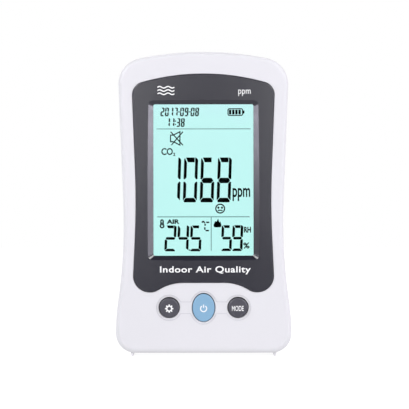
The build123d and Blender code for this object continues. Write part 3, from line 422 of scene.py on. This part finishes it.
def finish_nodes():
    """Gives every CAD node its finish, by the record's material slots."""
    finishes = {
        "case_white": case_plastic(),
        "bezel_charcoal": bezel_plastic(),
        "window_clear": clear_acrylic(),
        "key_charcoal": key_plastic("charcoal_key_plastic", (0.06, 0.058, 0.075), 0.3),
        "key_blue": key_plastic("blue_key_plastic", (0.205, 0.385, 0.565), 0.36),
        "foot_rubber": soft_rubber("foot_rubber", (0.7, 0.69, 0.72)),
        "screw_steel": plated_metal("zinc_screw", (0.6, 0.6, 0.6), 0.35),
        "filter_mesh": woven_mesh(),
        "adhesive_tape": soft_rubber("tape_foam", (0.02, 0.02, 0.02)),
        "lcd_glass": optical_sheet("display_glass", (0.85, 0.93, 0.9), 0.02, 0.95),
        "polarizer_film": lit_polarizer(),
        "diffuser_film": optical_sheet("diffuser_film", (0.88, 0.9, 0.9), 0.5, 0.5),
        "light_guide": optical_sheet("light_guide_acrylic", (0.88, 0.96, 0.96), 0.05, 0.9),
        "reflector_film": moulded("reflector_film", (0.88, 0.88, 0.88), 0.25, grain=900),
        "led_strip": lamp_strip(),
        "holder_white": moulded("holder_plastic", (0.72, 0.72, 0.72), 0.5),
        "contact_rubber": striped_contact(),
        "board_green": circuit_board(),
        "chip_black": moulded("chip_epoxy", (0.018, 0.018, 0.02), 0.55, grain=1800, mottle=0.1),
        "capacitor_can": plated_metal("capacitor_can", (0.72, 0.72, 0.73), 0.28),
        "crystal_can": plated_metal("crystal_can", (0.7, 0.7, 0.7), 0.18),
        "resistor_black": moulded("resistor_film", (0.03, 0.03, 0.03), 0.4, mottle=0.15),
        "capacitor_tan": moulded("capacitor_ceramic", (0.38, 0.25, 0.13), 0.5, mottle=0.1),
        "port_steel": plated_metal("port_steel", (0.66, 0.66, 0.64), 0.25, streaks=(0.2, 1, 1)),
        "sensor_gold": plated_metal("sensor_gold", (0.83, 0.6, 0.28), 0.28),
        "membrane_white": soft_rubber("sensor_membrane", (0.84, 0.84, 0.84)),
        "sensor_white": moulded("sensor_package", (0.78, 0.78, 0.78), 0.5),
        "pouch_silver": foil_pouch(),
        "foam_black": soft_rubber("foam_pad", (0.025, 0.025, 0.025)),
        "wire_red": moulded("red_insulation", (0.55, 0.02, 0.02), 0.35, mottle=0.05),
        "wire_black": moulded("black_insulation", (0.015, 0.015, 0.015), 0.35, mottle=0.1),
        "plug_white": moulded("plug_nylon", (0.78, 0.76, 0.68), 0.5),
        "switch_steel": plated_metal("switch_cover", (0.62, 0.62, 0.6), 0.35, streaks=(1, 1, 0.15)),
        "switch_black": moulded("switch_plunger_plastic", (0.02, 0.02, 0.02), 0.45, mottle=0.1),
    }
    for part in frame["record"]["subparts"]:
        node = frame["nodes"][part["node"]]
        node.data.materials.clear()
        node.data.materials.append(finishes[part["material_slot"]])
        for face in node.data.polygons:
            face.material_index = 0


# ---------------------------------------------------------------- flat shapes, in millimetres
SAME_POINT = 1e-6
SHARPEST_MITRE = 0.35


def ribbon(points, width, closed=False):
    """Quads along a path, mitred at its corners."""
    count = len(points)
    sides = []
    for i, (x, z) in enumerate(points):
        before = points[i - 1] if i or closed else points[i]
        after = points[(i + 1) % count] if i < count - 1 or closed else points[i]
        along_in = Vector((x - before[0], z - before[1]))
        along_out = Vector((after[0] - x, after[1] - z))
        if along_in.length < SAME_POINT:
            along_in = along_out
        if along_out.length < SAME_POINT:
            along_out = along_in
        across_in = Vector((-along_in.y, along_in.x)).normalized()
        across_out = Vector((-along_out.y, along_out.x)).normalized()
        mitre = (across_in + across_out).normalized()
        reach = width / 2 / max(SHARPEST_MITRE, mitre.dot(across_in))
        sides.append(((x + mitre.x * reach, z + mitre.y * reach), (x - mitre.x * reach, z - mitre.y * reach)))
    last = count if closed else count - 1
    return [
        [sides[i][0], sides[i][1], sides[(i + 1) % count][1], sides[(i + 1) % count][0]] for i in range(last)
    ]


def arc(x, z, radius_x, start=0.0, end=360.0, steps=36, radius_z=None):
    """Points round an arc or ellipse, angles in degrees, anticlockwise from +X."""
    radius_z = radius_z or radius_x
    closed = abs(end - start) >= 360
    count = steps if closed else steps + 1
    turns = [math.radians(start + (end - start) * i / steps) for i in range(count)]
    return [(x + radius_x * math.cos(t), z + radius_z * math.sin(t)) for t in turns]


def rounded_box(x0, z0, x1, z1, radius, steps=5):
    corners = [(x1, z1, 0), (x0, z1, 90), (x0, z0, 180), (x1, z0, 270)]
    points = []
    for x, z, start in corners:
        centre_x = x - radius if start in (0, 270) else x + radius
        centre_z = z - radius if start in (0, 90) else z + radius
        points += arc(centre_x, centre_z, radius, start, start + 90, steps)
    return points


def moved(shapes, x, z):
    return [[(px + x, pz + z) for px, pz in shape] for shape in shapes]


def slanted(shapes, degrees):
    lean = math.tan(math.radians(degrees))
    return [[(x + z * lean, z) for x, z in shape] for shape in shapes]


# ---------------------------------------------------------------- making pieces
def prism(mesh, shape, front, thick):
    """A closed prism from a flat shape: its front face is at depth front."""
    area = sum(a[0] * b[1] - b[0] * a[1] for a, b in zip(shape, shape[1:] + shape[:1]))
    outline = shape if area > 0 else shape[::-1]
    near = [mesh.verts.new((x * MM, front * MM, z * MM)) for x, z in outline]
    far = [mesh.verts.new((x * MM, (front + thick) * MM, z * MM)) for x, z in outline]
    mesh.faces.new(near)
    mesh.faces.new(far[::-1])
    for i in range(len(outline)):
        j = (i + 1) % len(outline)
        mesh.faces.new((near[j], near[i], far[i], far[j]))


def in_scene(name, data):
    made = bpy.data.objects.new(name, data)
    bpy.context.scene.collection.objects.link(made)
    return made


def meshed(name, mesh, material):
    """An object of a finished bmesh, with one material."""
    data = bpy.data.meshes.new(name)
    mesh.to_mesh(data)
    mesh.free()
    data.materials.append(material)
    return in_scene(name, data)


def piece(name, mesh, material, body):
    bmesh.ops.remove_doubles(mesh, verts=mesh.verts, dist=WELD)
    made = meshed(name, mesh, material)
    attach(made, body)
    return made


def mark(name, shapes, material, front, thick=SEGMENT_THICK, body=ROOT):
    """A flat mark of one or more shapes, all at one depth."""
    mesh = bmesh.new()
    for shape in shapes:
        prism(mesh, shape, front, thick)
    return piece(name, mesh, material, body)


def lettering_mesh(words, box, weight=0.0, slant=0.0, spacing=1.0, resolution=6):
    """Letters as a mesh that fills box (x0, z0, x1, z1), in millimetres, with its faces towards the front."""
    text = bpy.data.curves.new("letters", "FONT")
    text.body = words
    text.size = 1.0
    text.offset = weight
    text.shear = slant
    text.space_character = spacing
    text.resolution_u = resolution
    text.extrude = 0.5
    holder = in_scene("letters", text)
    bpy.context.view_layer.update()
    data = bpy.data.meshes.new_from_object(holder)
    mesh = bmesh.new()
    mesh.from_mesh(data)
    bpy.data.objects.remove(holder)
    bpy.data.curves.remove(text)
    bpy.data.meshes.remove(data)
    xs = [v.co.x for v in mesh.verts]
    ys = [v.co.y for v in mesh.verts]
    x0, z0, x1, z1 = box
    scale_x = (x1 - x0) / (max(xs) - min(xs))
    scale_z = (z1 - z0) / (max(ys) - min(ys))
    low_x, low_y = min(xs), min(ys)
    for v in mesh.verts:
        x, y, depth = v.co
        v.co = ((x0 + (x - low_x) * scale_x) * MM, -depth * MM, (z0 + (y - low_y) * scale_z) * MM)
    return mesh


def flat_lettering(name, words, box, material, front, thick=SEGMENT_THICK, body=ROOT, **style):
    """Letters at one depth."""
    mesh = lettering_mesh(words, box, **style)
    for v in mesh.verts:
        v.co.y = (front + thick / 2) * MM + v.co.y * thick
    return piece(name, mesh, material, body)


def surface_depth(node, x, z):
    """How deep the front surface of a CAD node is at x and z, in metres."""
    found, place, _, _ = frame["nodes"][node].ray_cast(Vector((x, -1, z)), Vector((0, 1, 0)))
    if not found:
        raise RuntimeError(f"{node} has no surface at {x}, {z}")
    return place.y


def laid_on(made, node, front=0.0):
    """Moves each point of a flat piece, drawn about depth front, onto the crowned surface of a CAD node."""
    for v in made.data.vertices:
        v.co.y += surface_depth(node, v.co.x, v.co.z) - front * MM
    return made


# ---------------------------------------------------------------- display content
SEGMENTS = {
    "0": "abcdef", "1": "bc", "2": "abged", "3": "abgcd", "4": "fgbc", "5": "afgcd",
    "6": "afgedc", "7": "abc", "8": "abcdefg", "9": "abcdfg",
}


def digit(value, width, height, bar, side, low_bar, mid_bar, drop=0.0, joint=0.2):
    """The lit segments of one digit.

    bar, side, low_bar and mid_bar are the thicknesses of its top, upright, bottom and middle segments.
    drop is how far the middle one lies below half height, and joint is how far the uprights end from it,
    as a share of its thickness.
    """
    w, h, m = width, height, height / 2 - drop
    gap = 0.1 * bar
    tip, outer, inner = joint * mid_bar, (joint + 0.1) * mid_bar, (joint + 0.42) * mid_bar
    point = 0.35 * side
    shoulder = point + 0.36 * mid_bar
    upper_left = [
        (0, m + outer), (0.45 * side, m + tip), (side, m + inner), (side, h - bar - gap),
        (0.28 * side, h - gap), (0, h - 0.35 * bar),
    ]
    upper_right = [
        (w, m + outer), (w - 0.45 * side, m + tip), (w - side, m + inner), (w - side, h),
        (w - 0.55 * side, h - 0.05 * bar), (w, h - 0.5 * bar),
    ]
    lower_left = [
        (0, m - outer), (0.45 * side, m - tip), (side, m - inner), (side, low_bar + 1.4 * gap),
        (0, 0.42 * low_bar),
    ]
    across_top = [
        (0.45 * side + gap, h), (w - side - gap, h), (w - side - gap, h - bar), (side + 1.6 * gap, h - bar),
    ]
    middle = [
        (point, m), (shoulder, m + mid_bar / 2), (w - shoulder, m + mid_bar / 2),
        (w - point, m), (w - shoulder, m - mid_bar / 2), (shoulder, m - mid_bar / 2),
    ]
    across_bottom = [
        (0.3 * side, 0.15 * low_bar), (0.5 * side, 0), (w - 0.5 * side, 0), (w - 0.3 * side, 0.15 * low_bar),
        (w - 0.3 * side, 0.45 * low_bar), (w - side, low_bar), (side, low_bar), (0.3 * side, 0.45 * low_bar),
    ]
    shapes = {
        "a": across_top, "b": upper_right, "c": [(w - x, z) for x, z in lower_left],
        "d": across_bottom, "e": lower_left, "f": upper_left, "g": middle,
    }
    return [shapes[s] for s in SEGMENTS[value]]


def reading(digits, left, bottom, pitch, slant, dash_pitch=0.0, **shape):
    """A row of digits, its left and bottom measured from the visible area's lower left corner."""
    shapes = []
    place = 0.0
    for value in digits:
        if value == "-":
            height = shape["height"]
            low, high = 0.45 * height, 0.55 * height
            shapes += moved([[(-0.35, low), (1.05, low), (1.05, high), (-0.35, high)]], place, 0)
            place += dash_pitch
            continue
        shapes += moved(digit(value, **shape), place, 0)
        place += pitch
    return moved(slanted(shapes, slant), VIEW_LEFT + left, VIEW_BOTTOM + bottom)


def on_view(shapes):
    return moved(shapes, VIEW_LEFT, VIEW_BOTTOM)


def view_box(u0, v0, u1, v1):
    return (VIEW_LEFT + u0, VIEW_BOTTOM + v0, VIEW_LEFT + u1, VIEW_BOTTOM + v1)


def stroked(paths, width):
    shapes = []
    for path in paths:
        shapes += ribbon(path, width)
    return shapes


def battery_symbol():
    shapes = ribbon(rounded_box(39.85, 74.8, 47.6, 78.3, 0.7), 0.55, closed=True)
    shapes += [rounded_box(40.35 + i * 1.68, 75.3, 41.6 + i * 1.68, 77.8, 0.12) for i in range(4)]
    return shapes + [rounded_box(47.6, 75.7, 48.6, 77.4, 0.42)]


def muted_speaker():
    """A loudspeaker seen from the side, crossed out."""
    box = [(10.7, 64.3), (9.2, 64.3), (9.2, 60.8), (10.7, 60.8)]
    cone = [(10.7, 64.3), (14.2, 66.1), (14.2, 59.0), (10.7, 60.8)]
    cross = [[(9.25, 66.1), (15.8, 58.9)], [(15.8, 66.1), (9.6, 58.95)]]
    return stroked([box, cone] + cross, 0.58)


def face_symbol():
    """A round face with a level mouth, which stands for so-so air."""
    x, z, ring = 35.6, 25.1, 0.66
    shapes = ribbon(arc(x, z, 2.66 - ring / 2), ring, closed=True)
    shapes += [arc(x + side * 0.95, z + 0.5, 0.6, steps=12) for side in (-1, 1)]
    mouth = [(-1.2, -1.15), (-0.6, -0.85), (0, -0.95), (0.6, -0.85), (1.2, -1.15)]
    return shapes + ribbon([(x + across, z + up) for across, up in mouth], 0.62)


def thermometer_symbol():
    """A tube with a wider bulb at its foot."""
    x, bulb_z, top_z = 4.6, 15.9, 18.5
    bulb = arc(x, bulb_z, 0.95, 130, 410, 16)
    tube = arc(x, top_z, 0.6, 0, 180, 8)
    return ribbon(bulb + tube, 0.72, closed=True) + [rounded_box(x - 0.2, bulb_z, x + 0.2, top_z - 0.6, 0.15)]


def celsius_symbol():
    """The segmented degree mark and letter."""
    ring = [(25.9, 17.6), (26.3, 18.2), (26.8, 18.2), (27.4, 17.4)]
    paths = [ring, [(27.6, 17.1), (27.5, 15.95)], [(27.4, 15.2), (27.45, 13.8)]]
    return stroked(paths + [[(28.1, 17.8), (29.8, 17.8)], [(27.8, 13.4), (29.6, 13.4)]], 0.76)


def drops_symbol():
    """Three drops side by side, the middle one tallest, merged into one dark shape."""
    def drop(x, z, radius, tip_x, tip_z):
        round_part = arc(x, z, radius, 150, 390, 16)
        return round_part + [(tip_x, tip_z)]

    return [
        drop(33.2, 16.2, 1.15, 33.05, 18.6),
        drop(35.1, 16.2, 1.15, 35.7, 18.3),
        drop(34.15, 16.4, 1.35, 34.55, 19.8),
    ]


def display_content(black, grey):
    front = LCD_FRONT - SEGMENT_THICK
    main = dict(
        width=7.45, height=23.9, pitch=9.0, slant=2.0,
        bar=2.55, low_bar=2.4, mid_bar=2.85, side=1.58, drop=0.3,
    )
    small = dict(height=13.8, bar=1.5, low_bar=1.4, mid_bar=1.4, side=1.4, joint=0.4, slant=2.4)
    fine = dict(
        width=2.0, height=4.6, pitch=2.38, dash_pitch=0.9, slant=4,
        bar=0.7, low_bar=0.7, mid_bar=0.7, side=0.74,
    )
    mark("gas_reading", reading("1068", 6.65, 28.45, **main), black, front)
    mark("temperature_reading", reading("245", 5.75, 2.35, width=6.1, pitch=6.75, **small), black, front)
    mark("humidity_reading", reading("59", 35.85, 2.45, width=5.75, pitch=5.8, **small), black, front)
    mark("date_reading", reading("2017-09-08", 3.75, 74.35, **fine), black, front)
    mark("time_hours", reading("11", 6.75, 68.7, **fine), black, front)
    mark("time_minutes", reading("38", 12.2, 68.7, **fine), black, front)
    points = [rounded_box(11.5, z, 12.1, z + 0.6, 0.12) for z in (69.7, 71.5)]
    mark("time_colon", on_view(points), black, front)
    mark("decimal_point", on_view([rounded_box(18.85, 2.65, 19.55, 3.4, 0.25)]), black, front)
    lines = [
        [(1.7, 67.4), (51.9, 67.4), (51.9, 67.8), (1.7, 67.8)],
        [(2.05, 20.5), (51.3, 20.5), (51.3, 20.95), (2.05, 20.95)],
        [(30.6, 2.6), (31.0, 2.6), (31.0, 20.5), (30.6, 20.5)],
    ]
    mark("reading_dividers", on_view(lines), grey, front)
    symbols = {
        "battery_symbol": battery_symbol(),
        "muted_sound_symbol": muted_speaker(),
        "comfort_face_symbol": face_symbol(),
        "thermometer_symbol": thermometer_symbol(),
        "celsius_symbol": celsius_symbol(),
        "humidity_symbol": drops_symbol(),
    }
    for name, shapes in symbols.items():
        mark(name, on_view(shapes), black, front)
    words = {
        "gas_unit": ("ppm", (42.2, 29.1, 51.6, 36.1), dict(weight=0.02)),
        "gas_formula": ("CO", (4.3, 53.7, 10.4, 57.4), dict(weight=0.022, spacing=0.94)),
        "gas_formula_index": ("2", (10.5, 53.2, 11.7, 54.9), dict(weight=0.03)),
        "air_word": ("AIR", (7.1, 17.0, 13.9, 19.4), dict(weight=0.045)),
        "humidity_word": ("RH", (48.3, 12.3, 52.0, 15.4), dict(weight=0.045)),
        "humidity_unit": ("%", (47.9, 3.8, 51.2, 7.0), dict(weight=0.03)),
    }
    for name, (text, box, style) in words.items():
        flat_lettering(name, text, view_box(*box), black, front, **style)


# ---------------------------------------------------------------- printed marks and key symbols
def air_mark(white):
    """Three stacked air waves: a plain decoration at the upper left of the bezel."""
    x, z, length, pitch, height, stroke = -24.4, 139.6, 9.0, 1.75, 0.42, 0.6
    steps = 24
    waves = []
    for i in range(3):
        path = [
            (x + length * j / steps, z + pitch * i + height * math.sin(4 * math.pi * j / steps))
            for j in range(steps + 1)
        ]
        waves += ribbon(path, stroke)
    laid_on(mark("air_mark", waves, white, -INK_THICK, INK_THICK), "display_bezel", INK_THICK)


def bezel_marks(white):
    names = {
        "bezel_legend": ("Indoor Air Quality", (-23.2, 43.5, 25.1, 47.9), dict(weight=0.02, spacing=1.08)),
        "bezel_gas_mark": ("ppm", (18.6, 138.4, 25.2, 141.8), dict(weight=0.0)),
    }
    for name, (text, box, style) in names.items():
        letters = flat_lettering(name, text, box, white, 0, INK_THICK, **style)
        laid_on(letters, "display_bezel", INK_THICK)


def window_mask(black):
    """The black border printed behind the window, just inside the bezel's opening."""
    inset, width, corner = 0.05, 1.2, 1.3
    reach = inset - width / 2
    box = view_box(reach, reach, VIEW_SIZE[0] - reach, VIEW_SIZE[1] - reach)
    ring = ribbon(rounded_box(*box, corner), width, closed=True)
    mark("window_mask", ring, black, window_high.y / MM, INK_THICK)


def gear_symbol(x, z):
    """A ring with eight rounded teeth, one of them straight up."""
    outer, root, hole, teeth, steps = 2.25, 1.6, 0.95, 8, 96
    rim, inside = [], []
    for i in range(steps):
        turn = 2 * math.pi * i / steps
        rise = min(1.0, max(0.0, 0.5 + 1.1 * math.cos(teeth * turn)))
        radius = root + (outer - root) * rise
        rim.append((x + radius * math.sin(turn), z + radius * math.cos(turn)))
        inside.append((x + hole * math.sin(turn), z + hole * math.cos(turn)))
    return [[inside[i], rim[i], rim[(i + 1) % steps], inside[(i + 1) % steps]] for i in range(steps)]


def power_symbol(x, z):
    shapes = ribbon(arc(x, z, 1.62, 125, 415, 30), 0.56)
    return shapes + ribbon([(x, z + 0.35), (x, z + 2.15)], 0.5)


def key_face(low, high):
    """The middle of a key's box, x and z, and the depth of ink half sunk in its crown, in millimetres."""
    return (low.x + high.x) / 2 / MM, (low.z + high.z) / 2 / MM, low.y / MM - INK_THICK / 2


def key_marks(white):
    drop = 0.45
    for name, shapes_at in (("settings", gear_symbol), ("power", power_symbol)):
        x, z, front = key_face(*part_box(f"{name}_key"))
        mark(f"{name}_key_symbol", shapes_at(x, z - drop), white, front, INK_THICK, f"{name}_button")
    x, z, front = key_face(*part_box("mode_key"))
    box = (x - 3.25, z - 1.8, x + 3.05, z + 1.0)
    flat_lettering("mode_key_word", "MODE", box, white, front, INK_THICK, "mode_button", weight=0.015)


# ---------------------------------------------------------------- studio
def studio_floor():
    """A wide pale disc under the object."""
    made = Shader("studio_floor").constants(
        Specular_IOR_Level=0.0, Roughness=0.9, Emission_Strength=0.8, Emission_Color=(1, 1, 1, 1)
    )
    made.feed("Base Color", made.ramp(made.noise(3), [(0.3, (0.28, 0.28, 0.28)), (0.7, (0.3, 0.3, 0.3))]))
    mesh = bmesh.new()
    bmesh.ops.create_circle(mesh, cap_ends=True, segments=96, radius=4.0)
    floor = meshed("studio_floor", mesh, made.material)
    floor.visible_diffuse = False
    floor.visible_glossy = False


def dark_card(name, flats, turn, place):
    """A dark card that only reflections see. flats are its upright shapes, in millimetres."""
    card_thick = 5
    made = Shader(name).constants(Specular_IOR_Level=0.0)
    stops = [(0.3, (0.004, 0.004, 0.004)), (0.7, (0.006, 0.006, 0.006))]
    made.feed("Base Color", made.ramp(made.noise(3), stops))
    mesh = bmesh.new()
    for flat in flats:
        prism(mesh, flat, 0, card_thick)
    card = meshed(name, mesh, made.material)
    card.location = place
    card.rotation_euler = (turn, 0, 0)
    for ray in ("camera", "diffuse", "shadow"):
        setattr(card, f"visible_{ray}", False)


def dark_cards():
    """One behind the camera, narrow above and wide below, and one overhead for a dark display sill."""
    narrow = [(-130, 40), (130, 40), (130, 380), (-130, 380)]
    wide = [(-420, -420), (420, -420), (420, 40), (-420, 40)]
    dark_card("studio_card", [narrow, wide], 0, (0, -2.3, 0))
    roof = [(-350, -250), (350, -250), (350, 250), (-350, 250)]
    dark_card("overhead_card", [roof], math.radians(-90), (0, -0.2, 0.7))


def soft_light(name, place, aim, size, power, tint=(1, 1, 1)):
    lamp = bpy.data.lights.new(name, "AREA")
    lamp.shape = "RECTANGLE"
    lamp.size, lamp.size_y = size
    lamp.energy = power
    lamp.color = tint
    holder = in_scene(name, lamp)
    holder.location = place
    holder.rotation_mode = "QUATERNION"
    holder.rotation_quaternion = (Vector(aim) - Vector(place)).to_track_quat("-Z", "Y")
    return holder


def studio_world():
    """An even white surround, a little dimmer from below."""
    world = bpy.data.worlds.new("studio_surround")
    world.use_nodes = True
    nodes, links = world.node_tree.nodes, world.node_tree.links
    direction = nodes.new("ShaderNodeTexCoord").outputs["Generated"]
    parts = nodes.new("ShaderNodeSeparateXYZ")
    links.new(direction, parts.inputs["Vector"])
    level = nodes.new("ShaderNodeMapRange")
    level.inputs["From Min"].default_value = -0.8
    level.inputs["From Max"].default_value = -0.08
    level.inputs["To Min"].default_value = 0.85
    level.inputs["To Max"].default_value = 1.0
    links.new(parts.outputs["Z"], level.inputs["Value"])
    links.new(level.outputs["Result"], nodes["Background"].inputs["Strength"])
    nodes["Background"].inputs["Color"].default_value = (1, 1, 1, 1)
    bpy.context.scene.world = world


def studio_camera():
    """A long lens, level with the middle of the case and square to its front."""
    distance = 1.6
    frame_width = 0.21746
    sensor = 36
    off_centre, height = 0.00055, 0.0807
    roll = math.radians(0.08)
    camera = bpy.data.cameras.new("studio_camera")
    camera.sensor_width = sensor
    camera.lens = sensor * distance / frame_width
    camera.clip_start = 0.1
    camera.clip_end = 20
    holder = in_scene("studio_camera", camera)
    holder.location = (off_centre, cad_box[0].y - distance, height)
    holder.rotation_euler = (math.radians(90), roll, 0)
    bpy.context.scene.camera = holder


def strip_lights():
    """Upright strips at both sides, which the slopes at the sides of the display mirror.

    Each has a name, a side, the height of its middle, a length and a radiance.
    """
    distance, turn, width = 0.7, math.radians(58), 0.12
    strips = (
        ("left_upper_strip", -1, 0.21, 0.18, 9.8),
        ("left_lower_strip", -1, 0.108, 0.024, 4.4),
        ("right_upper_strip", 1, 0.21, 0.18, 12.0),
        ("right_lower_strip", 1, 0.04, 0.16, 5.0),
    )
    for name, hand, height, length, radiance in strips:
        place = (hand * distance * math.sin(turn), -distance * math.cos(turn), height)
        power = math.pi * radiance * width * length
        soft_light(name, place, (0, 0, height), (width, length), power, tint=(1.0, 0.965, 1.12))


def corner_lights():
    """One for each lower corner of the slope, placed where that corner mirrors it."""
    distance, side, radiance = 0.8, 0.3, 12
    for name, hand in (("left_corner_light", -1), ("right_corner_light", 1)):
        corner = Vector((-hand * 0.0277, -0.016, 0.0528))
        mirrored = Vector((hand * 0.582, -0.566, 0.582))
        place = corner + mirrored * distance
        glint = soft_light(name, place, corner, (side, side), math.pi * radiance * side * side)
        glint.visible_diffuse = False


def front_softboxes():
    """Two tall soft lights, one on each side of the camera."""
    distance, turn, height = 1.45, math.radians(9.5), 0.27
    for name, hand, power in (("left_front_softbox", -1, 1.1), ("right_front_softbox", 1, 0.85)):
        place = (hand * distance * math.sin(turn), -distance * math.cos(turn), height)
        soft_light(name, place, (0, 0, 0.1), (0.17, 0.42), power)


def studio():
    studio_camera()
    studio_world()
    studio_floor()
    dark_cards()
    strip_lights()
    soft_light("overhead_light", (0, -0.15, 0.9), (0, 0, 0.08), (0.8, 0.5), 0.3)
    corner_lights()
    front_softboxes()
    view = bpy.context.scene.view_settings
    view.view_transform = "Standard"
    view.look = "None"


studio()
finish_nodes()
white_ink = printed_ink("white_ink", (0.86, 0.86, 0.87))
display_content(segment_black(), segment_grey())
window_mask(printed_ink("mask_ink", (0.012, 0.012, 0.014)))
air_mark(white_ink)
bezel_marks(white_ink)
key_marks(white_ink)
